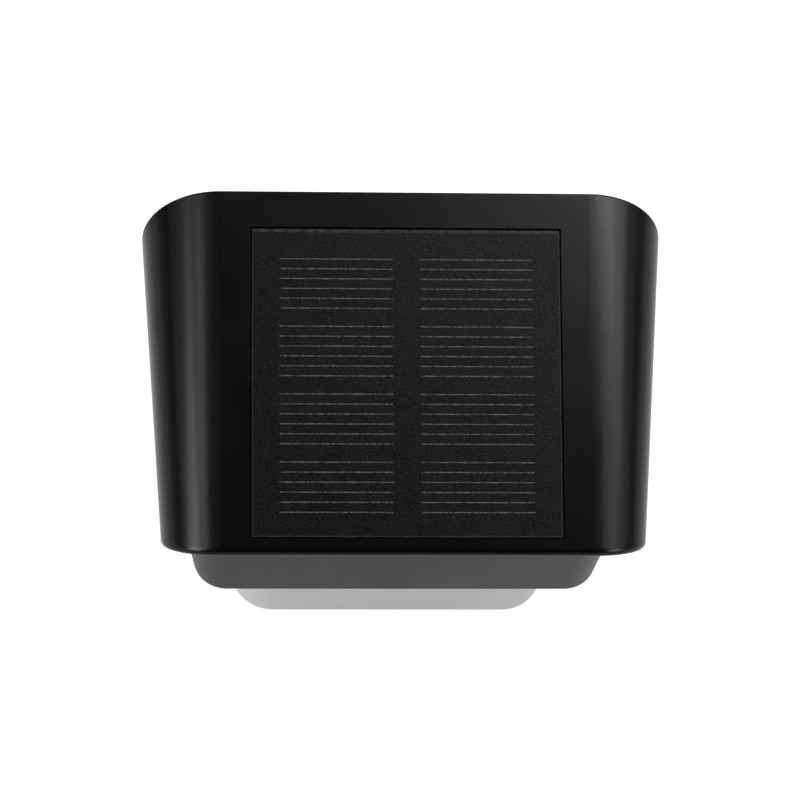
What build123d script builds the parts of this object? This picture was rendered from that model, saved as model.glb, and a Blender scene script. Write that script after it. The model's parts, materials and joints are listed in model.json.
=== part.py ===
from build123d import *
import os
from math import cos, radians, sin, tan

# A solar fence light: a sloping hood with a solar panel, a tapered lamp body under it and an
# opal cup below that, hung on a small bracket. Millimetres, +X right, -Y away from the fence,
# +Z up. The origin is on the fence's face, midway between the bracket's two screw holes.
# Places are given as x, out (distance from the fence) and down (distance below the hood's
# top edge), and put() turns them into the frame.

# Solar panel
panel_width = 70.0
panel_length = 70.4
panel_gap = 0.35  # round the panel in its recess
panel_sink = 0.4  # film below the hood's top face
film_thickness = 0.5
film_edge = 0.12
cell_thickness = 0.3
backing_thickness = 1.6
tape_thickness = 0.8
tape_width = 4.0
cell_columns = 2
cell_rows = 4
cell_width = 30.6
cell_height = 14.4
cell_gap_across = 1.3
cell_gap_along = 1.1
cell_shift = 0.7  # cells sit this much nearer the lip than the panel's middle
finger_count = 6
finger_pitch = 2.27
finger_length = 25.6
finger_width = 0.24
finger_height = 0.04

# Hood
slope_angle = 23.9  # top face below the horizontal
bevel_angle = 49.6  # front face below the horizontal, running back under the lip
flat_margin = 7.0  # panel's side to the start of the shoulder
panel_top_margin = 9.3
panel_front_margin = 4.6
shoulder_radius_wall = 18.7
shoulder_radius_front = 13.0
bevel_drop = 10.0  # height of the bevelled front face
hood_wall = 2.4
back_gap = 0.4  # hood's back to the fence
back_wall = 2.2
lip_radius = 1.5
back_edge = 0.5  # rounding where the hood's outside meets its back
recess_wall = 2.0
recess_floor = 1.9
ledge_width = 3.2
ledge_height = 3.0
opening_depth = 4.0  # seal ledge above the hood's lower rim
lead_slot_length = 9.0
lead_slot_width = 4.0

# Lamp body
flange_gap = 0.3
flange_thickness = 2.5
gasket_thickness = 1.0
body_wall = 2.4
floor_thickness = 2.4
side_draft = 8.0
front_draft = 6.5
body_corner = 7.7  # plan corner at the bottom
body_back_corner = 3.0
body_edge = 1.0
post_radius = 4.2
post_inset = 5.2  # post centre from the body's bottom outline at the sides
post_end_inset = 6.0  # and at the front and back
closing_gap = 0.2  # hood post above body post
screw_grip = 11.7  # body's thickness under a body screw's head

# Diffuser, reflector and light board
diffuser_side_margin = 7.8
diffuser_front_margin = 10.8
diffuser_back_margin = 11.0
diffuser_height = 32.7
diffuser_wall = 2.0
diffuser_draft = 2.9
diffuser_corner = 10.1
diffuser_edge = 1.6
diffuser_flange_width = 3.4
diffuser_flange_thickness = 2.0
diffuser_gap = 0.3
reflector_wall = 1.5
reflector_inset = 1.6  # reflector's mouth inside the diffuser's wall
reflector_depth = 10.0
ear_reach = 2.3
ear_radius = 2.1
ear_spacing = 48.0
reflector_flare = 2.0  # run of its front and back walls
led_board_width = 52.0
led_board_thickness = 1.2
led_margin = 4.0  # reflector's crown round the light board
led_columns = 4
led_rows = 2
led_pitch_across = 10.5
led_edge = 3.0  # outer rows of light chips from the board's edge
led_size = 3.0
led_height = 0.8
led_window_gap = 0.4

# Battery and its tray
battery_radius = 9.2
battery_length = 65.0
battery_edge = 0.6
battery_gap = 0.3
contact_thickness = 0.5
contact_width = 9.0
contact_bow = 1.6
tray_drop = 1.9  # tray's top below the hood's seal ledge
tray_thickness = 2.0
tray_gap = 1.1  # tray to the screw posts
tray_edge = 1.0  # tray's side past its bosses
cradle_wall = 2.0
cradle_spacing = 40.0
saddle_margin = 1.0
tray_boss_radius = 3.0
tray_boss_gap = 0.4
tray_boss_inset = 4.4
wire_hole_radius = 1.4

# Control board
board_thickness = 1.6
board_side_gap = 1.35  # board's side to the battery leads
board_switch_gap = 0.8
board_tray_margin = 2.3  # board's front behind the tray's
standoff_height = 3.5
standoff_radius = 2.5
board_screw_inset = 4.5
socket_length = 5.0
socket_width = 6.0
socket_height = 5.0
led_socket_x = -14.0
chip_places = ((9.0, -5.8), (10.0, 6.2), (-8.0, 8.4))  # x and out from the board's middle
chip_length = 5.0
chip_width = 4.0
chip_height = 1.6
inductor_place = (19.0, -4.8)
inductor_size = 7.0
inductor_height = 4.2
inductor_corner = 1.2
inductor_edge = 0.4
capacitor_places = ((19.5, 6.2), (-20.5, 6.2))
capacitor_radius = 3.1
capacitor_height = 6.5
capacitor_edge = 0.5
wiring_room = 2.9  # tallest piece on the board to the light board
wire_radius = 0.55
wire_spacing = 2.4
wire_bend = 1.2
panel_lead_bend = 4.0
lead_standoff = 9.5  # panel leads come down this far in front of the board

# Fasteners
body_screw_radius = 1.5
body_screw_length = 18.0
body_head_radius = 2.8
body_head_height = 2.2
small_screw_radius = 1.0
small_screw_length = 5.0
small_head_radius = 1.9
small_head_height = 1.3
driver_share = 0.8  # driver recess beside the shank
pilot_room = 1.0  # pilot holes run on past the screws
thread_gap = 0.05
hole_gap = 0.2
head_gap = 0.4

# Push switch in the lamp body's back
button_radius = 3.7
button_gap = 0.12
button_drop = 13.0  # below the body's flange
button_edge = 0.6
button_proud = 1.9
button_travel = 1.5
button_rest_gap = 0.1
collar_reach = 1.3  # collar past the button's side
collar_thickness = 1.0
stem_radius = 1.4
stem_length = 4.0
seal_thickness = 0.8
switch_length = 8.0
switch_gap = 0.5  # pressed button's collar to the switch
switch_slack = 0.6
cradle_gap = 0.05

# Bracket and the pocket in the hood's back
bracket_width = 50.0
bracket_height = 15.0
bracket_flange = 2.0
bracket_stem_width = 40.0
bracket_corner = 1.0
bracket_edge = 0.4
bracket_slack = 0.4
pocket_wall = 2.0
pocket_seal_gap = 0.85  # pocket's walls end above the seal ledge
lift_room = 0.8
screw_spacing = 28.0
screw_hole_radius = 2.2
countersink_radius = 4.2

# ---------------------------------------------------------------- worked out
slope = radians(slope_angle)
bevel = radians(bevel_angle)
slope_length = panel_top_margin + panel_length + panel_front_margin
flat_half = panel_width / 2 + flat_margin
lip_out = slope_length * cos(slope)
lip_down = slope_length * sin(slope)
rim_down = lip_down + bevel_drop
seal_down = rim_down - opening_depth
lift_travel = bracket_height + lift_room
pocket_bottom_down = seal_down - pocket_seal_gap - pocket_wall
pocket_top_down = pocket_bottom_down - lift_travel - bracket_height
hood_top = pocket_top_down + bracket_height / 2
hood_back = back_gap + back_wall
overrun = hood_wall + ledge_width  # how far shapes run on past the faces that trim them
reach = flat_half + shoulder_radius_wall + overrun

flange_top = seal_down + gasket_thickness
flange_bottom = flange_top + flange_thickness
flange_inset = hood_wall + flange_gap
body_back = hood_back + flange_gap

# From the tray down to the body's floor, each level follows from what is above it
tray_top_down = seal_down + tray_drop
tray_bottom = tray_top_down + tray_thickness
board_top = tray_bottom + standoff_height
board_bottom = board_top + board_thickness
led_board_top = board_bottom + capacitor_height + wiring_room
led_board_bottom = led_board_top + led_board_thickness
reflector_top = led_board_bottom + reflector_wall
reflector_bottom = reflector_top + reflector_depth
diffuser_flange_bottom = reflector_bottom + diffuser_flange_thickness
floor_top = diffuser_flange_bottom + gasket_thickness
body_bottom = floor_top + floor_thickness
body_height = body_bottom - flange_bottom

body_top_half = flat_half + shoulder_radius_front - flange_inset
body_top_front = lip_out - bevel_drop / tan(bevel) - flange_inset / sin(bevel)
body_bottom_half = body_top_half - body_height * tan(radians(side_draft))
body_bottom_front = body_top_front - body_height * tan(radians(front_draft))
post_x = body_bottom_half - post_inset
post_outs = (body_back + post_end_inset, body_bottom_front - post_end_inset)
screw_seat_down = flange_top + screw_grip

diffuser_half = body_bottom_half - diffuser_side_margin
diffuser_front = body_bottom_front - diffuser_front_margin
diffuser_back = body_back + diffuser_back_margin
diffuser_bottom = body_bottom + diffuser_height
diffuser_middle = (diffuser_front + diffuser_back) / 2
ear_outs = (
    diffuser_back - diffuser_flange_width - ear_reach,
    diffuser_front + diffuser_flange_width + ear_reach,
)
mouth_inset = diffuser_wall + reflector_inset
crown_half = led_board_width / 2 + led_margin
crown_depth = diffuser_front - diffuser_back - 2 * (mouth_inset + reflector_flare)
led_board_depth = crown_depth - 2 * led_margin
led_pitch_along = led_board_depth - 2 * led_edge

tray_back = post_outs[0] + post_radius + tray_gap
tray_front = post_outs[1] - post_radius - tray_gap
tray_middle = (tray_back + tray_front) / 2
battery_out = tray_back + battery_radius
battery_down = tray_top_down - battery_gap - battery_radius
battery_end = battery_length / 2 + contact_bow
end_wall_x = battery_end + contact_thickness
tray_boss_x = end_wall_x + cradle_wall + tray_boss_gap + tray_boss_radius
tray_boss_outs = (tray_back + tray_boss_inset, tray_front - tray_boss_inset)
tray_width = 2 * (tray_boss_x + tray_boss_radius + tray_edge)

button_down = flange_bottom + button_drop
body_inner_back = body_back + body_wall
collar_radius = button_radius + collar_reach
collar_back = body_inner_back + seal_thickness + button_rest_gap
stem_start = collar_back + collar_thickness
switch_back = stem_start + button_travel + switch_gap
switch_front = switch_back + switch_length
switch_size = 2 * collar_radius

battery_lead_x = end_wall_x - contact_thickness / 2
board_width = 2 * (battery_lead_x - board_side_gap)
board_back = switch_front + board_switch_gap
board_front = tray_front - board_tray_margin
board_middle = (board_back + board_front) / 2
board_screw_x = board_width / 2 - board_screw_inset
board_screw_outs = (board_back + board_screw_inset, board_front - board_screw_inset)
battery_socket_x = (board_width - socket_length) / 2
led_socket = (led_socket_x, diffuser_middle)
switch_socket = (0.0, board_back + socket_length / 2)
panel_socket = (0.0, board_front - socket_length / 2)

bracket_flange_back = hood_back + bracket_slack
bracket_front = bracket_flange_back + bracket_flange
pocket_front = bracket_front + bracket_slack

# Shank radius, head radius and head height of the two kinds of screw
body_screw = (body_screw_radius, body_head_radius, body_head_height)
small_screw = (small_screw_radius, small_head_radius, small_head_height)

# Names for the heights of the panel's layers, measured down from the hood's top face
film_top = panel_sink
cell_top = film_top + film_thickness
backing_top = cell_top + cell_thickness
tape_top = backing_top + backing_thickness
recess_depth = tape_top + tape_thickness
panel_middle = panel_top_margin + panel_length / 2
panel_lead_out = board_front + lead_standoff
lead_slot_along = (panel_lead_out + (recess_depth + recess_floor / 2) * sin(slope)) / cos(slope)

# The hood's top face, with local y running up the slope from the top edge at the fence
slope_plane = Plane(
    origin=(0, 0, hood_top), x_dir=(1, 0, 0), z_dir=(0, -sin(slope), cos(slope))
)


def put(x, out, down):
    """A point of the frame from its side, its distance from the fence and its drop."""
    return (x, -out, hood_top - down)


def level(down):
    """The horizontal plane at a drop below the hood's top edge."""
    return Plane.XY.offset(hood_top - down)


def upright(out):
    """The plane parallel to the fence, at a distance from it, facing away from it."""
    return Plane.XZ.offset(out)


def across_slope(along):
    """The plane square to the top face, along the slope from its top edge."""
    return Plane(
        origin=put(0, along * cos(slope), along * sin(slope)),
        x_dir=(1, 0, 0),
        z_dir=(0, -cos(slope), -sin(slope)),
    )


def draw_hood_section(along, inset):
    """Flat top with rounded shoulders. The shoulders shrink towards the lip."""
    share = along / slope_length
    radius = shoulder_radius_wall + share * (shoulder_radius_front - shoulder_radius_wall)
    half = flat_half + radius - inset
    depth = rim_down + 2 * overrun
    with Locations((0, -inset - depth / 2)):
        Rectangle(2 * half, depth)
    fillet(vertices().group_by(Axis.Y)[-1], radius - inset)


def bevel_out(down, inset):
    """How far out the bevelled front face is at a drop, moved in by the inset."""
    return lip_out - (down - lip_down) / tan(bevel) - inset / sin(bevel)


def hood_shape(inset, back, down_from, down_to):
    """The hood's form between two levels, shrunk by an inset and starting at a back plane."""
    with BuildPart() as shape:
        for along in (-overrun, slope_length + overrun):
            with BuildSketch(across_slope(along)):
                draw_hood_section(along, inset)
        loft(ruled=True)
        with BuildSketch(Plane.YZ):
            with BuildLine():
                Polyline(
                    (-back, hood_top - down_from),
                    (-bevel_out(down_from, inset), hood_top - down_from),
                    (-bevel_out(down_to, inset), hood_top - down_to),
                    (-back, hood_top - down_to),
                    close=True,
                )
            make_face()
        extrude(amount=reach, both=True, mode=Mode.INTERSECT)
    return shape.part


def draw_plan(half, back, front, front_corner, back_corner):
    """A rectangle in plan with its own corner radii at the front and the back."""
    with Locations((0, -(back + front) / 2)):
        Rectangle(2 * half, front - back)
    fillet(vertices().group_by(Axis.Y)[0], front_corner)
    fillet(vertices().group_by(Axis.Y)[-1], back_corner)


def draw_body(down, inset):
    """The lamp body's outline at a level: it tapers inwards as it goes down."""
    rise = body_bottom - down
    half = body_bottom_half + rise * tan(radians(side_draft)) - inset
    front = body_bottom_front + rise * tan(radians(front_draft)) - inset
    corner = body_corner + rise * tan(radians(side_draft)) - inset
    draw_plan(half, body_back + inset, front, corner, body_back_corner - inset)


def draw_diffuser(down, inset):
    """The diffuser's outline at a level, growing a little towards its mouth."""
    grow = (body_bottom - down) * tan(radians(diffuser_draft)) - inset
    corner = diffuser_corner + diffuser_height * tan(radians(diffuser_draft)) + grow
    draw_plan(
        diffuser_half + grow, diffuser_back - grow, diffuser_front + grow, corner, corner
    )


def mirrored(x, outs):
    """Plan points at both sides for each distance from the fence."""
    return [(side * x, -out) for out in outs for side in (-1, 1)]


def on_board(places):
    """Plan points from places given from the control board's middle."""
    return [(x, -board_middle - out) for x, out in places]


# ---------------------------------------------------------------- hood
with BuildPart() as hood_cavity:
    add(hood_shape(hood_wall, hood_back, -overrun, seal_down - ledge_height))
    add(
        hood_shape(
            hood_wall + ledge_width,
            hood_back + ledge_width,
            seal_down - ledge_height,
            seal_down,
        )
    )
    add(hood_shape(hood_wall, hood_back, seal_down, rim_down + overrun))
    # block that carries the panel's recess
    with BuildSketch(slope_plane):
        with Locations((0, -panel_middle)):
            Rectangle(
                panel_width + 2 * (panel_gap + recess_wall),
                panel_length + 2 * (panel_gap + recess_wall),
            )
    extrude(amount=-recess_depth - recess_floor, mode=Mode.SUBTRACT)
    # posts for the body screws
    with BuildSketch(level(0)):
        with Locations(mirrored(post_x, post_outs)):
            Circle(post_radius)
    extrude(amount=-(flange_top - closing_gap), mode=Mode.SUBTRACT)
    # bosses for the battery tray
    with BuildSketch(level(0)):
        with Locations(mirrored(tray_boss_x, tray_boss_outs)):
            Circle(tray_boss_radius)
    extrude(amount=-tray_top_down, mode=Mode.SUBTRACT)
    # walls of the bracket's pocket
    with BuildSketch(level(pocket_top_down - pocket_wall)):
        with Locations((0, -(pocket_front + pocket_wall) / 2)):
            Rectangle(
                bracket_width + 2 * (bracket_slack + pocket_wall),
                pocket_front + pocket_wall,
            )
    extrude(
        amount=-(pocket_bottom_down - pocket_top_down + 2 * pocket_wall), mode=Mode.SUBTRACT
    )

with BuildPart() as hood:
    add(hood_shape(0, back_gap, -overrun, rim_down))
    front_face = hood.faces().filter_by(GeomType.PLANE).sort_by(
        lambda face: face.normal_at().dot(Vector(0, -sin(bevel), -cos(bevel)))
    )[-1]
    lip_edges = front_face.edges().filter_by(
        lambda edge: edge.center().Z > hood_top - rim_down + lip_radius / 2
    )
    fillet(lip_edges, lip_radius)
    fillet(hood.faces().sort_by(Axis.Y)[-1].edges(), back_edge)
    add(hood_cavity.part, mode=Mode.SUBTRACT)
    # recess for the panel, and the slot for its leads
    with BuildSketch(slope_plane):
        with Locations((0, -panel_middle)):
            Rectangle(panel_width + 2 * panel_gap, panel_length + 2 * panel_gap)
    extrude(amount=-recess_depth, mode=Mode.SUBTRACT)
    with BuildSketch(slope_plane.offset(-recess_depth)):
        with Locations((0, -lead_slot_along)):
            SlotOverall(lead_slot_length, lead_slot_width)
    extrude(amount=-recess_floor - overrun, mode=Mode.SUBTRACT)
    # pilot holes
    with BuildSketch(level(flange_top)):
        with Locations(mirrored(post_x, post_outs)):
            Circle(body_screw_radius + thread_gap)
    extrude(amount=body_screw_length - screw_grip + pilot_room, mode=Mode.SUBTRACT)
    with BuildSketch(level(tray_top_down)):
        with Locations(mirrored(tray_boss_x, tray_boss_outs)):
            Circle(small_screw_radius + thread_gap)
    extrude(amount=small_screw_length - tray_thickness + pilot_room, mode=Mode.SUBTRACT)
    # pocket: wide inside, narrow at its upper mouth, wide at its lower mouth
    with BuildSketch(upright(hood_back)):
        with Locations((0, hood_top - (pocket_top_down + pocket_bottom_down) / 2)):
            Rectangle(
                bracket_width + 2 * bracket_slack, pocket_bottom_down - pocket_top_down
            )
    extrude(amount=pocket_front - hood_back, mode=Mode.SUBTRACT)
    with BuildSketch(upright(0)):
        with Locations((0, hood_top - (pocket_top_down + pocket_bottom_down) / 2)):
            Rectangle(
                bracket_stem_width + 2 * bracket_slack, pocket_bottom_down - pocket_top_down
            )
        with Locations((0, hood_top - pocket_bottom_down + lift_travel / 2)):
            Rectangle(bracket_width + 2 * bracket_slack, lift_travel)
    extrude(amount=hood_back, mode=Mode.SUBTRACT)
hood.part.label = "hood"

# ---------------------------------------------------------------- solar panel
with BuildPart() as panel_film:
    with BuildSketch(slope_plane.offset(-film_top)):
        with Locations((0, -panel_middle)):
            Rectangle(panel_width, panel_length)
    extrude(amount=-film_thickness)
    chamfer(panel_film.faces().sort_by(Axis.Z)[-1].edges(), film_edge)
panel_film.part.label = "panel_film"

cell_pitch_across = cell_width + cell_gap_across
cell_pitch_along = cell_height + cell_gap_along
cell_middle = panel_middle + cell_shift

with BuildPart() as grid_lines:
    with BuildSketch(slope_plane.offset(-film_top)):
        with Locations((0, -cell_middle)):
            with GridLocations(cell_pitch_across, cell_pitch_along, cell_columns, cell_rows):
                with GridLocations(0, finger_pitch, 1, finger_count):
                    Rectangle(finger_length, finger_width)
    extrude(amount=finger_height)
grid_lines.part.label = "grid_lines"

with BuildPart() as solar_cells:
    with BuildSketch(slope_plane.offset(-cell_top)):
        with Locations((0, -cell_middle)):
            with GridLocations(cell_pitch_across, cell_pitch_along, cell_columns, cell_rows):
                Rectangle(cell_width, cell_height)
    extrude(amount=-cell_thickness)
solar_cells.part.label = "solar_cells"

with BuildPart() as panel_encapsulant:
    with BuildSketch(slope_plane.offset(-cell_top)):
        with Locations((0, -panel_middle)):
            Rectangle(panel_width, panel_length)
        with Locations((0, -cell_middle)):
            with GridLocations(cell_pitch_across, cell_pitch_along, cell_columns, cell_rows):
                Rectangle(cell_width, cell_height, mode=Mode.SUBTRACT)
    extrude(amount=-cell_thickness)
panel_encapsulant.part.label = "panel_encapsulant"

with BuildPart() as panel_backing:
    with BuildSketch(slope_plane.offset(-backing_top)):
        with Locations((0, -panel_middle)):
            Rectangle(panel_width, panel_length)
    extrude(amount=-backing_thickness)
panel_backing.part.label = "panel_backing"

with BuildPart() as panel_tape:
    with BuildSketch(slope_plane.offset(-tape_top)):
        with Locations((0, -panel_middle)):
            Rectangle(panel_width, panel_length)
            Rectangle(
                panel_width - 2 * tape_width, panel_length - 2 * tape_width, mode=Mode.SUBTRACT
            )
    extrude(amount=-tape_thickness)
panel_tape.part.label = "panel_tape"

# ---------------------------------------------------------------- lamp body
with BuildPart() as lamp_body:
    add(hood_shape(flange_inset, body_back, flange_top, flange_bottom))
    for down in (flange_bottom - flange_thickness / 2, body_bottom):
        with BuildSketch(level(down)):
            draw_body(down, 0)
    loft(ruled=True)
    bottom_edges = lamp_body.faces().sort_by(Axis.Z)[0].edges()
    fillet(bottom_edges, body_edge)
    for down in (seal_down, floor_top):
        with BuildSketch(level(down)):
            draw_body(down, body_wall)
    loft(ruled=True, mode=Mode.SUBTRACT)
    # screw posts, and bosses for the reflector's ears
    with BuildSketch(level(flange_top)):
        with Locations(mirrored(post_x, post_outs)):
            Circle(post_radius)
    extrude(amount=-(floor_top - flange_top))
    with BuildSketch(level(reflector_bottom)):
        with Locations(mirrored(ear_spacing / 2, ear_outs)):
            Circle(ear_radius)
    extrude(amount=-(floor_top - reflector_bottom))
    # walls that hold the switch
    with BuildSketch(upright(body_inner_back)):
        with Locations((0, hood_top - button_down)):
            with GridLocations(switch_size + 2 * cradle_gap + cradle_wall, 0, 2, 1):
                Rectangle(cradle_wall, switch_size)
    extrude(amount=switch_front - body_inner_back)
    # opening for the diffuser
    with BuildSketch(level(floor_top)):
        draw_diffuser(body_bottom, -diffuser_gap)
    extrude(amount=-floor_thickness, mode=Mode.SUBTRACT)
    # screw ways: narrow through the post, wide from below
    with BuildSketch(level(flange_top)):
        with Locations(mirrored(post_x, post_outs)):
            Circle(body_screw_radius + hole_gap)
    extrude(amount=-(body_bottom - flange_top), mode=Mode.SUBTRACT)
    with BuildSketch(level(screw_seat_down)):
        with Locations(mirrored(post_x, post_outs)):
            Circle(body_head_radius + head_gap)
    extrude(amount=-(body_bottom - screw_seat_down), mode=Mode.SUBTRACT)
    with BuildSketch(level(reflector_bottom)):
        with Locations(mirrored(ear_spacing / 2, ear_outs)):
            Circle(small_screw_radius + thread_gap)
    extrude(
        amount=-(small_screw_length - reflector_wall + pilot_room), mode=Mode.SUBTRACT
    )
    # hole for the switch button
    with BuildSketch(upright(body_back)):
        with Locations((0, hood_top - button_down)):
            Circle(button_radius + button_gap)
    extrude(amount=body_wall, mode=Mode.SUBTRACT)
lamp_body.part.label = "lamp_body"

with BuildPart() as body_gasket:
    add(hood_shape(flange_inset + flange_gap, body_back + flange_gap, seal_down, flange_top))
    with BuildSketch(level(seal_down)):
        draw_body(flange_top, body_wall - flange_gap)
        with Locations(mirrored(post_x, post_outs)):
            Circle(post_radius + flange_gap)
    extrude(amount=-gasket_thickness, mode=Mode.SUBTRACT)
body_gasket.part.label = "body_gasket"


def draw_flange(inset):
    """The outline that the diffuser's flange, its gasket and the reflector share."""
    draw_diffuser(body_bottom, inset - diffuser_flange_width)


def draw_crown(inset):
    """The reflector's outline at the light board."""
    with Locations((0, -diffuser_middle)):
        RectangleRounded(
            2 * (crown_half - inset), crown_depth - 2 * inset, led_margin - inset
        )


def draw_mouth(inset):
    """The reflector's outline where it opens into the diffuser."""
    draw_diffuser(body_bottom, mouth_inset + inset)


# ---------------------------------------------------------------- diffuser and reflector
with BuildPart() as diffuser:
    for down in (diffuser_flange_bottom, diffuser_bottom):
        with BuildSketch(level(down)):
            draw_diffuser(max(down, body_bottom), 0)
    loft(ruled=True)
    fillet(diffuser.faces().sort_by(Axis.Z)[0].edges(), diffuser_edge)
    with BuildSketch(level(reflector_bottom)):
        draw_flange(0)
    extrude(amount=-diffuser_flange_thickness)
    for down in (reflector_bottom, diffuser_bottom - diffuser_wall):
        with BuildSketch(level(down)):
            draw_diffuser(max(down, body_bottom), diffuser_wall)
    loft(ruled=True, mode=Mode.SUBTRACT)
diffuser.part.label = "diffuser"

with BuildPart() as diffuser_gasket:
    with BuildSketch(level(diffuser_flange_bottom)):
        draw_flange(0)
        with BuildSketch(mode=Mode.SUBTRACT):
            draw_diffuser(body_bottom, -diffuser_gap)
    extrude(amount=-gasket_thickness)
diffuser_gasket.part.label = "diffuser_gasket"

with BuildPart() as reflector:
    with BuildSketch(level(led_board_bottom)):
        draw_crown(0)
    with BuildSketch(level(reflector_bottom)):
        draw_mouth(-reflector_wall)
    loft(ruled=True)
    with BuildSketch(level(reflector_bottom - reflector_wall)):
        draw_flange(0)
        for ear_out, root in zip(ear_outs, (diffuser_back, diffuser_front)):
            with Locations(mirrored(ear_spacing / 2, (ear_out,))):
                Circle(ear_radius)
            with Locations(mirrored(ear_spacing / 2, ((ear_out + root) / 2,))):
                Rectangle(2 * ear_radius, abs(root - ear_out))
    extrude(amount=-reflector_wall)
    with BuildSketch(level(reflector_top)):
        draw_crown(reflector_wall)
    with BuildSketch(level(reflector_bottom)):
        draw_mouth(0)
    loft(ruled=True, mode=Mode.SUBTRACT)
    # windows for the light chips, screw holes
    with BuildSketch(level(led_board_bottom)):
        with Locations((0, -diffuser_middle)):
            with GridLocations(led_pitch_across, led_pitch_along, led_columns, led_rows):
                Rectangle(led_size + 2 * led_window_gap, led_size + 2 * led_window_gap)
            with GridLocations(led_board_width - 2 * led_margin, 0, 2, 1):
                Circle(small_screw_radius + thread_gap)
    extrude(amount=-reflector_wall, mode=Mode.SUBTRACT)
    with BuildSketch(level(reflector_bottom - reflector_wall)):
        with Locations(mirrored(ear_spacing / 2, ear_outs)):
            Circle(small_screw_radius + hole_gap)
    extrude(amount=-reflector_wall, mode=Mode.SUBTRACT)
reflector.part.label = "reflector"

with BuildPart() as led_board:
    with BuildSketch(level(led_board_top)):
        with Locations((0, -diffuser_middle)):
            Rectangle(led_board_width, led_board_depth)
            with GridLocations(led_board_width - 2 * led_margin, 0, 2, 1):
                Circle(small_screw_radius + hole_gap, mode=Mode.SUBTRACT)
    extrude(amount=-led_board_thickness)
led_board.part.label = "led_board"

with BuildPart() as led_chips:
    with BuildSketch(level(led_board_bottom)):
        with Locations((0, -diffuser_middle)):
            with GridLocations(led_pitch_across, led_pitch_along, led_columns, led_rows):
                Rectangle(led_size, led_size)
    extrude(amount=-led_height)
led_chips.part.label = "led_chips"

# ---------------------------------------------------------------- battery and tray
with BuildPart() as battery_tray:
    with BuildSketch(level(tray_top_down)):
        with Locations((0, -tray_middle)):
            RectangleRounded(tray_width, tray_front - tray_back, tray_boss_radius)
        with Locations(mirrored(tray_boss_x, tray_boss_outs)):
            Circle(small_screw_radius + hole_gap, mode=Mode.SUBTRACT)
        with Locations(mirrored(battery_lead_x, (board_middle,))):
            Circle(wire_hole_radius, mode=Mode.SUBTRACT)
    extrude(amount=-tray_thickness)
    # saddles under the cell and walls at its ends
    with BuildSketch(level(tray_top_down)):
        with Locations((0, -battery_out)):
            with GridLocations(cradle_spacing, 0, 2, 1):
                Rectangle(cradle_wall, 2 * (battery_radius - saddle_margin))
            with GridLocations(2 * end_wall_x + cradle_wall, 0, 2, 1):
                Rectangle(cradle_wall, contact_width)
    extrude(amount=tray_top_down - battery_down)
    with BuildSketch(Plane.YZ):
        with Locations((-battery_out, hood_top - battery_down)):
            Circle(battery_radius + battery_gap)
    extrude(amount=cradle_spacing / 2 + cradle_wall, both=True, mode=Mode.SUBTRACT)
    # standoffs for the control board
    with BuildSketch(level(tray_bottom)):
        with Locations(mirrored(board_screw_x, board_screw_outs)):
            Circle(standoff_radius)
    extrude(amount=-standoff_height)
    with BuildSketch(level(board_top)):
        with Locations(mirrored(board_screw_x, board_screw_outs)):
            Circle(small_screw_radius + thread_gap)
    extrude(amount=small_screw_length - board_thickness + pilot_room, mode=Mode.SUBTRACT)
battery_tray.part.label = "battery_tray"

with BuildPart() as battery_cell:
    with BuildSketch(Plane.YZ.offset(-battery_length / 2)):
        with Locations((-battery_out, hood_top - battery_down)):
            Circle(battery_radius)
    extrude(amount=battery_length)
    fillet(battery_cell.edges().filter_by(GeomType.CIRCLE), battery_edge)
battery_cell.part.label = "battery_cell"

# a sprung strip at each end, bowed towards the cell and lying on its end wall
with BuildPart() as battery_contacts:
    with BuildSketch(level(battery_down + contact_width / 2)):
        with BuildLine():
            Polyline(
                (battery_end, -battery_out - contact_width / 2),
                (end_wall_x, -battery_out - contact_width / 2),
                (end_wall_x, -battery_out + contact_width / 2),
                (battery_end, -battery_out + contact_width / 2),
            )
            ThreePointArc(
                (battery_end, -battery_out + contact_width / 2),
                (battery_length / 2, -battery_out),
                (battery_end, -battery_out - contact_width / 2),
            )
        make_face()
    extrude(amount=contact_width)
    mirror(about=Plane.YZ)
battery_contacts.part.label = "battery_contacts"

# ---------------------------------------------------------------- control board
with BuildPart() as control_board:
    with BuildSketch(level(board_top)):
        with Locations((0, -board_middle)):
            Rectangle(board_width, board_front - board_back)
        with Locations(mirrored(board_screw_x, board_screw_outs)):
            Circle(small_screw_radius + hole_gap, mode=Mode.SUBTRACT)
    extrude(amount=-board_thickness)
control_board.part.label = "control_board"

with BuildPart() as lead_sockets:
    with BuildSketch(level(board_bottom)):
        with Locations([(x, -out) for x, out in (led_socket, switch_socket, panel_socket)]):
            Rectangle(socket_width, socket_length)
        with Locations(mirrored(battery_socket_x, (board_middle,))):
            Rectangle(socket_length, socket_width)
    extrude(amount=-socket_height)
lead_sockets.part.label = "lead_sockets"

with BuildPart() as control_chips:
    with BuildSketch(level(board_bottom)):
        with Locations(on_board(chip_places)):
            Rectangle(chip_length, chip_width)
    extrude(amount=-chip_height)
control_chips.part.label = "control_chips"

with BuildPart() as power_inductor:
    with BuildSketch(level(board_bottom)):
        with Locations(on_board((inductor_place,))):
            RectangleRounded(inductor_size, inductor_size, inductor_corner)
    extrude(amount=-inductor_height)
    chamfer(power_inductor.faces().sort_by(Axis.Z)[0].edges(), inductor_edge)
power_inductor.part.label = "power_inductor"

with BuildPart() as capacitors:
    with BuildSketch(level(board_bottom)):
        with Locations(on_board(capacitor_places)):
            Circle(capacitor_radius)
    extrude(amount=-capacitor_height)
    fillet(capacitors.faces().group_by(Axis.Z)[0].edges(), capacitor_edge)
capacitors.part.label = "capacitors"


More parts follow.
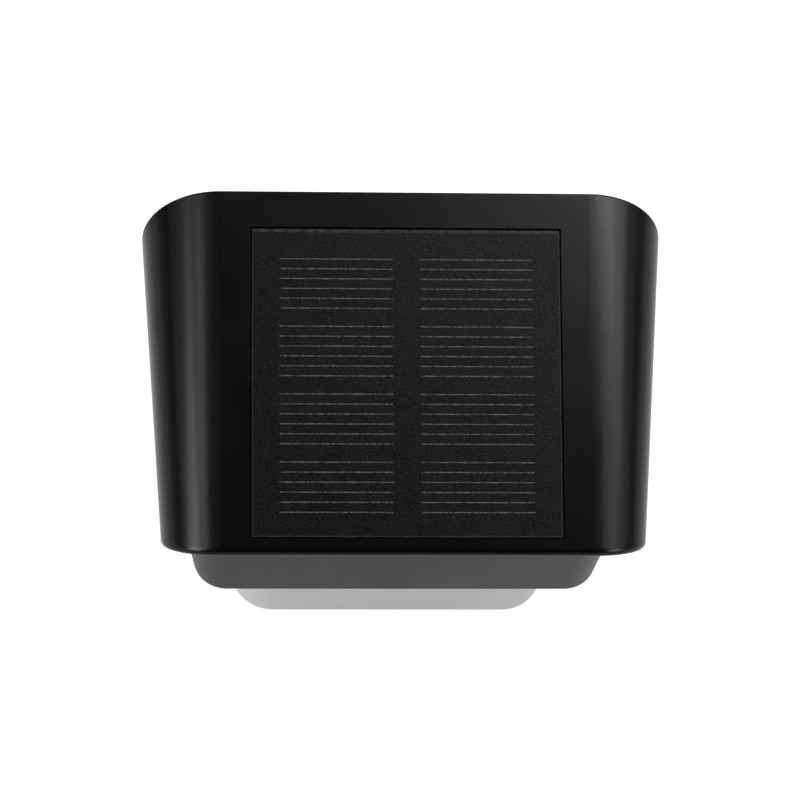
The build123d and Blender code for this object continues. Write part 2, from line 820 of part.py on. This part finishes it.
# ---------------------------------------------------------------- fasteners
def draw_screws(places, head_down, screw, length, head_below):
    """Screws with flat-topped heads in the current part, pointing away from their heads."""
    turn = 1 if head_below else -1
    shank_radius, head_radius, head_height = screw
    with Locations([put(x, -y, head_down) for x, y in places]):
        Cylinder(
            shank_radius,
            length,
            align=(Align.CENTER, Align.CENTER, Align.MIN if head_below else Align.MAX),
        )
        Cylinder(
            head_radius,
            head_height,
            align=(Align.CENTER, Align.CENTER, Align.MAX if head_below else Align.MIN),
        )
    with Locations([put(x, -y, head_down + turn * head_height) for x, y in places]):
        Cylinder(
            shank_radius * driver_share,
            head_height,
            align=(Align.CENTER, Align.CENTER, Align.CENTER),
            mode=Mode.SUBTRACT,
        )


with BuildPart() as body_screws:
    draw_screws(
        mirrored(post_x, post_outs), screw_seat_down, body_screw, body_screw_length, True
    )
body_screws.part.label = "body_screws"

with BuildPart() as reflector_screws:
    draw_screws(
        mirrored(ear_spacing / 2, ear_outs),
        reflector_bottom - reflector_wall,
        small_screw,
        small_screw_length,
        False,
    )
reflector_screws.part.label = "reflector_screws"

with BuildPart() as led_board_screws:
    draw_screws(
        mirrored(led_board_width / 2 - led_margin, (diffuser_middle,)),
        led_board_top,
        small_screw,
        led_board_thickness + reflector_wall,
        False,
    )
led_board_screws.part.label = "led_board_screws"

with BuildPart() as tray_screws:
    draw_screws(
        mirrored(tray_boss_x, tray_boss_outs),
        tray_bottom,
        small_screw,
        small_screw_length,
        True,
    )
tray_screws.part.label = "tray_screws"

with BuildPart() as board_screws:
    draw_screws(
        mirrored(board_screw_x, board_screw_outs),
        board_bottom,
        small_screw,
        small_screw_length,
        True,
    )
board_screws.part.label = "board_screws"

# ---------------------------------------------------------------- push switch
button_point = (0, hood_top - button_down)
with BuildPart() as switch_button:
    with BuildSketch(upright(body_back - button_proud)):
        with Locations(button_point):
            Circle(button_radius)
    extrude(amount=stem_start - body_back + button_proud)
    fillet(switch_button.faces().sort_by(Axis.Y)[-1].edges(), button_edge)
    with BuildSketch(upright(collar_back)):
        with Locations(button_point):
            Circle(collar_radius)
    extrude(amount=collar_thickness)
    with BuildSketch(upright(stem_start)):
        with Locations(button_point):
            Circle(stem_radius)
    extrude(amount=stem_length)
switch_button.part.label = "switch_button"

with BuildPart() as switch_seal:
    with BuildSketch(upright(body_inner_back)):
        with Locations(button_point):
            Circle(collar_radius)
            Circle(button_radius + button_gap, mode=Mode.SUBTRACT)
    extrude(amount=seal_thickness)
switch_seal.part.label = "switch_seal"

with BuildPart() as switch_housing:
    with BuildSketch(upright(switch_back)):
        with Locations(button_point):
            Rectangle(switch_size, switch_size)
    extrude(amount=switch_length)
    with BuildSketch(upright(switch_back)):
        with Locations(button_point):
            Circle(stem_radius + button_gap)
    extrude(
        amount=stem_start + stem_length + button_travel + switch_slack - switch_back,
        mode=Mode.SUBTRACT,
    )
switch_housing.part.label = "switch_housing"


# ---------------------------------------------------------------- leads inside the light
def lead_route(points, bend):
    """A route of straight runs joined by tangent arcs, from x, out and down points."""
    return FilletPolyline(*[put(*point) for point in points], radius=bend)


start_down = (panel_lead_out + wire_radius) * tan(slope) + tape_top / cos(slope)
with BuildPart() as panel_leads:
    for x in (-wire_spacing / 2, wire_spacing / 2):
        with BuildLine() as route:
            lead_route(
                (
                    (x, panel_lead_out, start_down),
                    (x, panel_lead_out, board_bottom + socket_height / 2),
                    (x, board_front, board_bottom + socket_height / 2),
                ),
                panel_lead_bend,
            )
        with BuildSketch(Plane(origin=route.line @ 0, z_dir=route.line % 0)):
            Circle(wire_radius)
        sweep(path=route.line)
panel_leads.part.label = "panel_leads"

with BuildPart() as battery_leads:
    for side in (-1, 1):
        socket_down = board_bottom + socket_height / 2
        with BuildLine() as route:
            lead_route(
                (
                    (side * battery_lead_x, battery_out + contact_width / 2, battery_down),
                    (side * battery_lead_x, board_middle, battery_down),
                    (side * battery_lead_x, board_middle, socket_down),
                    (side * board_width / 2, board_middle, socket_down),
                ),
                wire_bend,
            )
        with BuildSketch(Plane(origin=route.line @ 0, z_dir=route.line % 0)):
            Circle(wire_radius)
        sweep(path=route.line)
battery_leads.part.label = "battery_leads"

with BuildPart() as led_leads:
    with BuildSketch(level(board_bottom + socket_height)):
        with Locations((led_socket[0], -led_socket[1])):
            with GridLocations(wire_spacing, 0, 2, 1):
                Circle(wire_radius)
    extrude(amount=-(led_board_top - board_bottom - socket_height))
led_leads.part.label = "led_leads"

with BuildPart() as switch_leads:
    for x in (-wire_spacing / 2, wire_spacing / 2):
        with BuildLine() as route:
            lead_route(
                (
                    (x, switch_front, button_down),
                    (x, switch_socket[1], button_down),
                    (x, switch_socket[1], board_bottom + socket_height),
                ),
                wire_bend,
            )
        with BuildSketch(Plane(origin=route.line @ 0, z_dir=route.line % 0)):
            Circle(wire_radius)
        sweep(path=route.line)
switch_leads.part.label = "switch_leads"

# ---------------------------------------------------------------- wall bracket
with BuildPart() as wall_bracket:
    with BuildSketch(upright(0)):
        Rectangle(bracket_stem_width, bracket_height)
    extrude(amount=bracket_flange_back)
    with BuildSketch(upright(bracket_flange_back)):
        Rectangle(bracket_width, bracket_height)
    extrude(amount=bracket_flange)
    fillet(wall_bracket.edges().filter_by(Axis.Y), bracket_corner)
    chamfer(wall_bracket.faces().sort_by(Axis.Y)[0].edges(), bracket_edge)
    with BuildSketch(upright(0)):
        with GridLocations(screw_spacing, 0, 2, 1):
            Circle(screw_hole_radius)
    extrude(amount=bracket_front, mode=Mode.SUBTRACT)
    mouths = wall_bracket.faces().sort_by(Axis.Y)[0].edges().filter_by(GeomType.CIRCLE)
    chamfer(
        mouths.filter_by(lambda edge: abs(edge.radius - screw_hole_radius) < 0.01),
        countersink_radius - screw_hole_radius,
    )
wall_bracket.part.label = "wall_bracket"

# ---------------------------------------------------------------- files
pieces = (
    hood,
    panel_film,
    grid_lines,
    solar_cells,
    panel_encapsulant,
    panel_backing,
    panel_tape,
    panel_leads,
    lamp_body,
    body_gasket,
    body_screws,
    diffuser,
    diffuser_gasket,
    reflector,
    reflector_screws,
    led_board,
    led_chips,
    led_board_screws,
    led_leads,
    battery_tray,
    battery_cell,
    battery_contacts,
    battery_leads,
    tray_screws,
    control_board,
    board_screws,
    lead_sockets,
    control_chips,
    power_inductor,
    capacitors,
    switch_button,
    switch_seal,
    switch_housing,
    switch_leads,
    wall_bracket,
)
os.makedirs("parts", exist_ok=True)
for piece in pieces:
    export_step(piece.part, f"parts/{piece.part.label}.step")
    print(piece.part.label, len(piece.part.solids()), round(piece.part.volume, 2))
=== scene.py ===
import bpy
import json
from math import pi, radians
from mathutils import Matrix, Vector


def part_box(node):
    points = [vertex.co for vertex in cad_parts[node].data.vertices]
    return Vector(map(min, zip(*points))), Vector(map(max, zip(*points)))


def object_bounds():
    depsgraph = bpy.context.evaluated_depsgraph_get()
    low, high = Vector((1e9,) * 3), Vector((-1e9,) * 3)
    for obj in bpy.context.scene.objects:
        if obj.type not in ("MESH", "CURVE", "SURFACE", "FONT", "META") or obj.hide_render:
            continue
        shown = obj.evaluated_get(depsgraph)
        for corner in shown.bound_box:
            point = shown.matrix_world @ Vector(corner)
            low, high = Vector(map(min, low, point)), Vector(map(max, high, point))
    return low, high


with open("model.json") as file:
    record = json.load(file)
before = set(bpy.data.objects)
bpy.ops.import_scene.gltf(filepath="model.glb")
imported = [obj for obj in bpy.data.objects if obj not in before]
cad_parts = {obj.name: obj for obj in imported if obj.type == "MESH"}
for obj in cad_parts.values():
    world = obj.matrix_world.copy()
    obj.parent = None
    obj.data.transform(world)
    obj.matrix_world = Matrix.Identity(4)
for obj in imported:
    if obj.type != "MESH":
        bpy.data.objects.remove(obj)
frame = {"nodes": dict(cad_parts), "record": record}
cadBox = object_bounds()
cadNodes = frame["nodes"]
print("frame loaded:", len(cadNodes), "nodes")


# a socket given here is linked, anything else is set on the input itself
def addNode(tree, kind, inputs, **settings):
    node = tree.nodes.new(kind)
    for setting, value in settings.items():
        setattr(node, setting, value)
    for socket, value in inputs.items():
        if isinstance(value, bpy.types.NodeSocket):
            tree.links.new(value, node.inputs[socket])
        else:
            node.inputs[socket].default_value = value
    return node


def addNoise(tree, place, scale, detail, stretch=(1, 1, 1)):
    mapping = addNode(tree, "ShaderNodeMapping", {"Vector": place, "Scale": stretch})
    noise = addNode(
        tree,
        "ShaderNodeTexNoise",
        {"Vector": mapping.outputs["Vector"], "Scale": scale, "Detail": detail},
    )
    return noise.outputs["Fac"]


def addRange(tree, value, low, high, toLow=0.0, toHigh=1.0):
    ranged = addNode(
        tree,
        "ShaderNodeMapRange",
        {"Value": value, "From Min": low, "From Max": high, "To Min": toLow, "To Max": toHigh},
    )
    return ranged.outputs["Result"]


def addMath(tree, operation, first, second):
    return addNode(tree, "ShaderNodeMath", {0: first, 1: second}, operation=operation).outputs[0]


def addMix(tree, factor, first, second):
    mixed = addNode(
        tree, "ShaderNodeMix", {"Factor": factor, "A": first, "B": second}, data_type="RGBA"
    )
    return mixed.outputs["Result"]


def addSplit(tree, vector):
    return addNode(tree, "ShaderNodeSeparateXYZ", {"Vector": vector}).outputs


noiseSettings = {
    "mottleSpan": (0.3, 0.7),  # the noise values at which a surface has its two tones in full
    "mottleDetail": 3.0,
    "grainDetail": 2.0,
}


# every finish starts here: two tones, a gloss that varies with them, and a fine moulded grain
def makeFinish(name, finish):
    material = bpy.data.materials.new(name)
    material.use_nodes = True
    tree = material.node_tree
    shader = tree.nodes["Principled BSDF"]
    for socket, value in finish.get("shader", {}).items():
        shader.inputs[socket].default_value = value
    place = tree.nodes.new("ShaderNodeTexCoord").outputs["Object"]
    span = noiseSettings["mottleSpan"]
    stretch = finish.get("stretch", (1, 1, 1))
    mottle = addNoise(tree, place, finish["mottle"], noiseSettings["mottleDetail"], stretch)
    blend = addRange(tree, mottle, *span)
    colour = addMix(tree, blend, (*finish["dark"], 1), (*finish["light"], 1))
    grain = addNoise(tree, place, finish["grain"], noiseSettings["grainDetail"])
    if "speckle" in finish:  # fine points in a colour of their own
        points = addRange(tree, grain, *finish["speckleRange"])
        colour = addMix(tree, points, colour, (*finish["speckle"], 1))
    if "dust" in finish:  # a few light specks, far apart
        speck = addNode(
            tree, "ShaderNodeTexVoronoi", {"Vector": place, "Scale": finish["dustScale"]}
        )
        dust = addRange(tree, speck.outputs["Distance"], *finish["dustSize"], 1.0, 0.0)
        colour = addMix(tree, dust, colour, (*finish["dust"], 1))
    tree.links.new(colour, shader.inputs["Base Color"])
    gloss = addRange(tree, mottle, *span, *finish["rough"])
    tree.links.new(gloss, shader.inputs["Roughness"])
    bump = addNode(
        tree,
        "ShaderNodeBump",
        {"Height": grain, "Distance": finish["depth"], "Strength": finish["strength"]},
    )
    tree.links.new(bump.outputs["Normal"], shader.inputs["Normal"])
    return material


# lengths are in metres, so a scale of 1000 has features about a millimetre across
finishes = {
    # hood and solar panel
    "hood_black": {
        "dark": (0.0008, 0.0008, 0.0009), "light": (0.0013, 0.0013, 0.0014),
        "mottle": 60, "rough": (0.20, 0.24), "grain": 2600, "depth": 0.000012, "strength": 0.35,
        "dust": (0.03, 0.03, 0.03), "dustScale": 170, "dustSize": (0.015, 0.030),
        "shader": {"Specular IOR Level": 0.4},
    },
    "film_black": {
        "dark": (0.0004, 0.0004, 0.0004), "light": (0.0010, 0.0010, 0.0010),
        "mottle": 300, "rough": (0.25, 0.32), "grain": 3000, "depth": 0.00009, "strength": 0.9,
        "speckle": (0.0070, 0.0070, 0.0070), "speckleRange": (0.42, 0.66),
        "dust": (0.06, 0.06, 0.06), "dustScale": 210, "dustSize": (0.016, 0.034),
        "shader": {"Specular IOR Level": 0.25},
    },
    "finger_silver": {
        "dark": (0.060, 0.060, 0.060), "light": (0.140, 0.140, 0.137),
        "mottle": 900, "rough": (0.45, 0.60), "grain": 1700, "depth": 0.00002, "strength": 0.5,
        "speckle": (0.020, 0.020, 0.020), "speckleRange": (0.49, 0.57),
        "shader": {"Metallic": 0.2},
    },
    "cell_blue": {
        "dark": (0.006, 0.008, 0.022), "light": (0.014, 0.020, 0.055),
        "mottle": 450, "rough": (0.18, 0.34), "grain": 1200, "depth": 0.00001, "strength": 0.3,
    },
    "clear_layer": {
        "dark": (0.22, 0.24, 0.27), "light": (0.30, 0.32, 0.34),
        "mottle": 120, "rough": (0.10, 0.18), "grain": 900, "depth": 0.00001, "strength": 0.2,
        "shader": {"Transmission Weight": 0.6, "IOR": 1.48},
    },
    "circuit_green": {
        "dark": (0.012, 0.085, 0.026), "light": (0.028, 0.15, 0.055),
        "mottle": 350, "stretch": (1, 0.25, 1), "rough": (0.30, 0.45),
        "grain": 1800, "depth": 0.00002, "strength": 0.4,
    },
    "foam_tape": {
        "dark": (0.012, 0.012, 0.012), "light": (0.028, 0.028, 0.028),
        "mottle": 1500, "rough": (0.80, 0.95), "grain": 2600, "depth": 0.00010, "strength": 0.9,
        "shader": {"Specular IOR Level": 0.2},
    },
    # lamp body, seals and diffuser
    "body_grey": {
        "dark": (0.0315, 0.0315, 0.0290), "light": (0.0385, 0.0385, 0.0355),
        "mottle": 70, "rough": (0.34, 0.42), "grain": 2600, "depth": 0.000012, "strength": 0.35,
    },
    "seal_grey": {
        "dark": (0.095, 0.095, 0.095), "light": (0.14, 0.14, 0.14),
        "mottle": 400, "rough": (0.55, 0.70), "grain": 1600, "depth": 0.00003, "strength": 0.5,
        "shader": {"Specular IOR Level": 0.35},
    },
    "opal": {
        "dark": (0.80, 0.82, 0.795), "light": (0.85, 0.87, 0.845),
        "mottle": 45, "rough": (0.30, 0.38), "grain": 1800, "depth": 0.000008, "strength": 0.25,
    },
    "white_plastic": {
        "dark": (0.74, 0.74, 0.72), "light": (0.82, 0.82, 0.80),
        "mottle": 90, "rough": (0.25, 0.35), "grain": 2200, "depth": 0.00001, "strength": 0.3,
    },
    "zinc_steel": {
        "dark": (0.42, 0.43, 0.45), "light": (0.60, 0.61, 0.62),
        "mottle": 700, "rough": (0.26, 0.42), "grain": 2500, "depth": 0.00002, "strength": 0.4,
        "shader": {"Metallic": 1.0},
    },
    # light board, battery and control board
    "board_white": {
        "dark": (0.68, 0.68, 0.67), "light": (0.78, 0.78, 0.77),
        "mottle": 200, "rough": (0.28, 0.40), "grain": 1800, "depth": 0.00001, "strength": 0.3,
    },
    "led_yellow": {
        "dark": (0.68, 0.54, 0.14), "light": (0.80, 0.68, 0.26),
        "mottle": 800, "rough": (0.40, 0.55), "grain": 2500, "depth": 0.00002, "strength": 0.4,
    },
    "cell_wrap": {
        "dark": (0.022, 0.095, 0.25), "light": (0.036, 0.14, 0.34),
        "mottle": 60, "stretch": (0.3, 1, 1), "rough": (0.16, 0.28),
        "grain": 300, "depth": 0.00006, "strength": 0.35,
        "shader": {"Coat Weight": 0.4, "Coat Roughness": 0.1},
    },
    "contact_nickel": {
        "dark": (0.50, 0.48, 0.44), "light": (0.66, 0.64, 0.60),
        "mottle": 500, "stretch": (1, 1, 0.15), "rough": (0.18, 0.32),
        "grain": 1800, "depth": 0.00001, "strength": 0.3, "shader": {"Metallic": 1.0},
    },
    "chip_black": {
        "dark": (0.011, 0.011, 0.012), "light": (0.020, 0.020, 0.021),
        "mottle": 500, "rough": (0.48, 0.62), "grain": 2800, "depth": 0.00003, "strength": 0.5,
    },
    "ferrite": {
        "dark": (0.045, 0.043, 0.041), "light": (0.075, 0.072, 0.068),
        "mottle": 1400, "rough": (0.65, 0.80), "grain": 3000, "depth": 0.00005, "strength": 0.7,
    },
    "capacitor_can": {
        "dark": (0.52, 0.52, 0.54), "light": (0.66, 0.66, 0.68),
        "mottle": 600, "stretch": (1, 1, 0.1), "rough": (0.24, 0.36),
        "grain": 2400, "depth": 0.00001, "strength": 0.3, "shader": {"Metallic": 1.0},
    },
    "socket_white": {
        "dark": (0.64, 0.62, 0.54), "light": (0.74, 0.72, 0.64),
        "mottle": 250, "rough": (0.40, 0.55), "grain": 2200, "depth": 0.00001, "strength": 0.3,
    },
    "lead_red": {
        "dark": (0.32, 0.014, 0.014), "light": (0.44, 0.024, 0.022),
        "mottle": 350, "rough": (0.32, 0.46), "grain": 1600, "depth": 0.00002, "strength": 0.3,
    },
    # switch and bracket
    "button_rubber": {
        "dark": (0.030, 0.030, 0.031), "light": (0.048, 0.048, 0.050),
        "mottle": 260, "rough": (0.60, 0.75), "grain": 2200, "depth": 0.00003, "strength": 0.5,
        "shader": {"Specular IOR Level": 0.35},
    },
    "bracket_black": {
        "dark": (0.009, 0.009, 0.009), "light": (0.017, 0.017, 0.017),
        "mottle": 500, "rough": (0.42, 0.58), "grain": 1500, "depth": 0.00006, "strength": 0.8,
    },
}

filmTintAndHighlight = {
    "overCells": 0.80,  # how dark the film is over the cells, beside 1 at its margins
    "cellsSoft": 0.0004,
    "topBand": 0.0009, "edgeBand": 0.00025,  # widths of the painted highlight band at the top and sides, where the film's edge catches the light
    "bandSoft": 0.0000625,
    "bandMottle": 900, "bandSpan": (0.35, 0.65),
    "bandLeast": 0.3,  # how strong the painted highlight is in its faintest patches
    # colour of the painted highlight along the film's edge
    "paintedEdgeHighlight": (0.038, 0.038, 0.038),
}


# 1 between low and high, and 0 beyond them
def addInside(tree, value, low, high, soft):
    offset = addMath(tree, "SUBTRACT", value, (low + high) / 2)
    away = addMath(tree, "ABSOLUTE", offset, 0.0)
    half = (high - low) / 2
    return addRange(tree, away, half - soft, half + soft, 1.0, 0.0)


# 1 inside a rectangle seen from above, given by its lowest and highest corners
def addRectangle(tree, along, low, high, soft):
    return addMath(
        tree,
        "MULTIPLY",
        addInside(tree, along["X"], low[0], high[0], soft),
        addInside(tree, along["Y"], low[1], high[1], soft),
    )


# the cells darken the film from below, and a lighter, patchy band is painted along its edge as a
# painted highlight of the edge catching the light
def tintFilmAndPaintHighlight(material):
    tree = material.node_tree
    shader = tree.nodes["Principled BSDF"]
    colour = shader.inputs["Base Color"].links[0].from_socket
    place = tree.nodes.new("ShaderNodeTexCoord").outputs["Object"]
    along = addSplit(tree, place)
    low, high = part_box("solar_cells")
    overCells = addRectangle(tree, along, low, high, filmTintAndHighlight["cellsSoft"])
    shade = addRange(tree, overCells, 0.0, 1.0, 1.0, filmTintAndHighlight["overCells"])
    darker = addNode(tree, "ShaderNodeVectorMath", {0: colour, "Scale": shade}, operation="SCALE")
    low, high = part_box("panel_film")
    side, top = filmTintAndHighlight["edgeBand"], filmTintAndHighlight["topBand"]
    middle = addRectangle(
        tree,
        along,
        (low[0] + side, low[1] + side),
        (high[0] - side, high[1] - top),
        filmTintAndHighlight["bandSoft"],
    )
    noise = addNoise(tree, place, filmTintAndHighlight["bandMottle"], noiseSettings["grainDetail"])
    patchy = addRange(tree, noise, *filmTintAndHighlight["bandSpan"], filmTintAndHighlight["bandLeast"], 1.0)
    # painted highlight: the band along the film's edge is lightened as if it caught the light
    paintedHighlightMask = addMath(tree, "MULTIPLY", addMath(tree, "SUBTRACT", 1.0, middle), patchy)
    marked = addMix(tree, paintedHighlightMask, darker.outputs["Vector"], (*filmTintAndHighlight["paintedEdgeHighlight"], 1))
    tree.links.new(marked, shader.inputs["Base Color"])


slotMaterials = {name: makeFinish(name, finish) for name, finish in finishes.items()}
tintFilmAndPaintHighlight(slotMaterials["film_black"])
for part in frame["record"]["subparts"]:
    for slot in cadNodes[part["node"]].material_slots:
        slot.material = slotMaterials[part["material_slot"]]
print("materials assigned:", len(slotMaterials))

softbox = {"distance": 0.9, "side": 0.42, "aim": (0, -0.04, -0.03)}
lamps = {
    # direction towards each softbox, and its radiance
    "leftLow": ((-0.90, -0.08, 0.40), 0.36),
    "leftLowFront": ((-0.80, -0.32, 0.50), 2.7),
    "leftMiddle": ((-0.64, -0.05, 0.76), 0.66),
    "leftMiddleFront": ((-0.58, -0.38, 0.72), 1.2),
    "leftHigh": ((-0.39, 0.06, 0.915), 0.2),
    "leftHighFront": ((-0.36, -0.24, 0.90), 0.15),
    "rightLow": ((0.92, 0.05, 0.38), 0.4),
    "rightLowFront": ((0.82, -0.22, 0.52), 0.36),
    "rightMiddle": ((0.72, 0.12, 0.68), 1.4),
    "rightMiddleFront": ((0.66, -0.18, 0.72), 0.87),
    "rightHigh": ((0.50, 0.08, 0.86), 2.4),
    "rightTop": ((0.32, 0.08, 0.945), 2.3),
    "overhead": ((0.14, 0.09, 0.985), 0.24),
    "frontLeft": ((-0.76, -0.58, 0.28), 4.0),
    "frontRight": ((0.76, -0.58, 0.28), 3.0),
    "backLeft": ((-0.60, 0.74, 0.30), 2.0),
    "backRight": ((0.60, 0.74, 0.30), 2.0),
}


def addLamp(name, direction, radiance):
    side = softbox["side"]
    data = bpy.data.lights.new(name, "AREA")
    data.size = side
    data.energy = radiance * pi * side * side  # watts
    lamp = bpy.data.objects.new(name, data)
    bpy.context.scene.collection.objects.link(lamp)
    toLamp = Vector(direction).normalized()
    lamp.location = Vector(softbox["aim"]) + softbox["distance"] * toLamp
    lamp.rotation_euler = toLamp.to_track_quat("Z", "Y").to_euler()


for name, (direction, radiance) in lamps.items():
    addLamp(name, direction, radiance)
print("lamps placed:", len(lamps))


# 1 for what the camera sees itself, and 1 for what gloss, metal and glass show it
def addRayKinds(tree):
    rays = tree.nodes.new("ShaderNodeLightPath").outputs
    mirrored = addMath(tree, "MAXIMUM", rays["Is Glossy Ray"], rays["Is Transmission Ray"])
    return rays["Is Camera Ray"], mirrored


worldLight = {
    "ambient": 0.015,
    "gloss": 0.35,  # how bright the horizon is in gloss, metal and glass
    "fade": 0.08,  # the rise above the horizon over which that fades out
    "front": 0.1,  # what is left of it in front
    "frontSpan": (-0.5, 0.1),  # directions from front to back between which it grows
}


def makeWorld():
    world = bpy.data.worlds.new("studioWorld")
    bpy.context.scene.world = world
    world.use_nodes = True
    tree = world.node_tree
    along = addSplit(tree, tree.nodes.new("ShaderNodeTexCoord").outputs["Generated"])
    seen, mirrored = addRayKinds(tree)
    horizon = addRange(tree, along["Z"], 0.0, worldLight["fade"], worldLight["gloss"], 0.0)
    around = addRange(tree, along["Y"], *worldLight["frontSpan"], worldLight["front"], 1.0)
    inGloss = addMath(tree, "MULTIPLY", mirrored, addMath(tree, "MULTIPLY", horizon, around))
    white = addMath(tree, "MAXIMUM", seen, inGloss)
    strength = addRange(tree, white, 0.0, 1.0, worldLight["ambient"], 1.0)
    background = tree.nodes["Background"]
    background.inputs["Color"].default_value = (1, 1, 1, 1)
    tree.links.new(strength, background.inputs["Strength"])


makeWorld()

floorLook = {
    "height": cadBox[0][2],
    "size": 8.0,
    "colour": (0.55, 0.55, 0.55),
    "glow": (0.75, 1.0),  # added as the camera sees it, near the object and far from it
    "glowSpan": (0.30, 0.90),  # distances between which it grows
    "mirrorGlow": 0.42,  # added as gloss, metal and glass show it
    "mirrorSpan": (0.10, 0.27),  # distances between which that fades out
    "mirrorStart": (-0.12, -0.03),  # depths, front to back, between which it sets in
}


def makeFloorMaterial():
    material = bpy.data.materials.new("floorWhite")
    material.use_nodes = True
    tree = material.node_tree
    shader = tree.nodes["Principled BSDF"]
    shader.inputs["Base Color"].default_value = (*floorLook["colour"], 1)
    shader.inputs["Roughness"].default_value = 1.0
    shader.inputs["Specular IOR Level"].default_value = 0.0
    shader.inputs["Emission Color"].default_value = (1, 1, 1, 1)
    place = tree.nodes.new("ShaderNodeTexCoord").outputs["Object"]
    distance = addNode(
        tree, "ShaderNodeVectorMath", {0: place}, operation="LENGTH"
    ).outputs["Value"]
    depth = addSplit(tree, place)["Y"]
    seen, mirrored = addRayKinds(tree)
    glow = addRange(tree, distance, *floorLook["glowSpan"], *floorLook["glow"])
    start = addRange(tree, depth, *floorLook["mirrorStart"])
    fade = addRange(tree, distance, *floorLook["mirrorSpan"], floorLook["mirrorGlow"], 0.0)
    strength = addMath(
        tree,
        "ADD",
        addMath(tree, "MULTIPLY", seen, glow),
        addMath(tree, "MULTIPLY", mirrored, addMath(tree, "MULTIPLY", start, fade)),
    )
    tree.links.new(strength, shader.inputs["Emission Strength"])
    # from below the floor is clear, so that the underside can be seen
    below = tree.nodes.new("ShaderNodeNewGeometry").outputs["Backfacing"]
    clear = tree.nodes.new("ShaderNodeBsdfTransparent").outputs["BSDF"]
    sided = addNode(
        tree, "ShaderNodeMixShader", {0: below, 1: shader.outputs["BSDF"], 2: clear}
    )
    tree.links.new(sided.outputs["Shader"], tree.nodes["Material Output"].inputs["Surface"])
    return material


bpy.ops.object.select_all(action="DESELECT")
bpy.ops.mesh.primitive_plane_add(size=floorLook["size"], location=(0, 0, floorLook["height"]))
floor = bpy.context.object
floor.name = "floor"
floor.data.materials.append(makeFloorMaterial())

cameraSetup = {
    "place": (-0.050125, -0.456587, 0.632128),
    "angles": (32.910, -3.198, -1.784),  # degrees
    "lens": 151.878,
}


def addCamera():
    data = bpy.data.cameras.new("photoCamera")
    data.lens = cameraSetup["lens"]
    camera = bpy.data.objects.new("photoCamera", data)
    bpy.context.scene.collection.objects.link(camera)
    camera.location = cameraSetup["place"]
    camera.rotation_euler = [radians(angle) for angle in cameraSetup["angles"]]
    bpy.context.scene.camera = camera


addCamera()
bpy.context.scene.view_settings.view_transform = "Standard"
print("world, floor and camera ready")
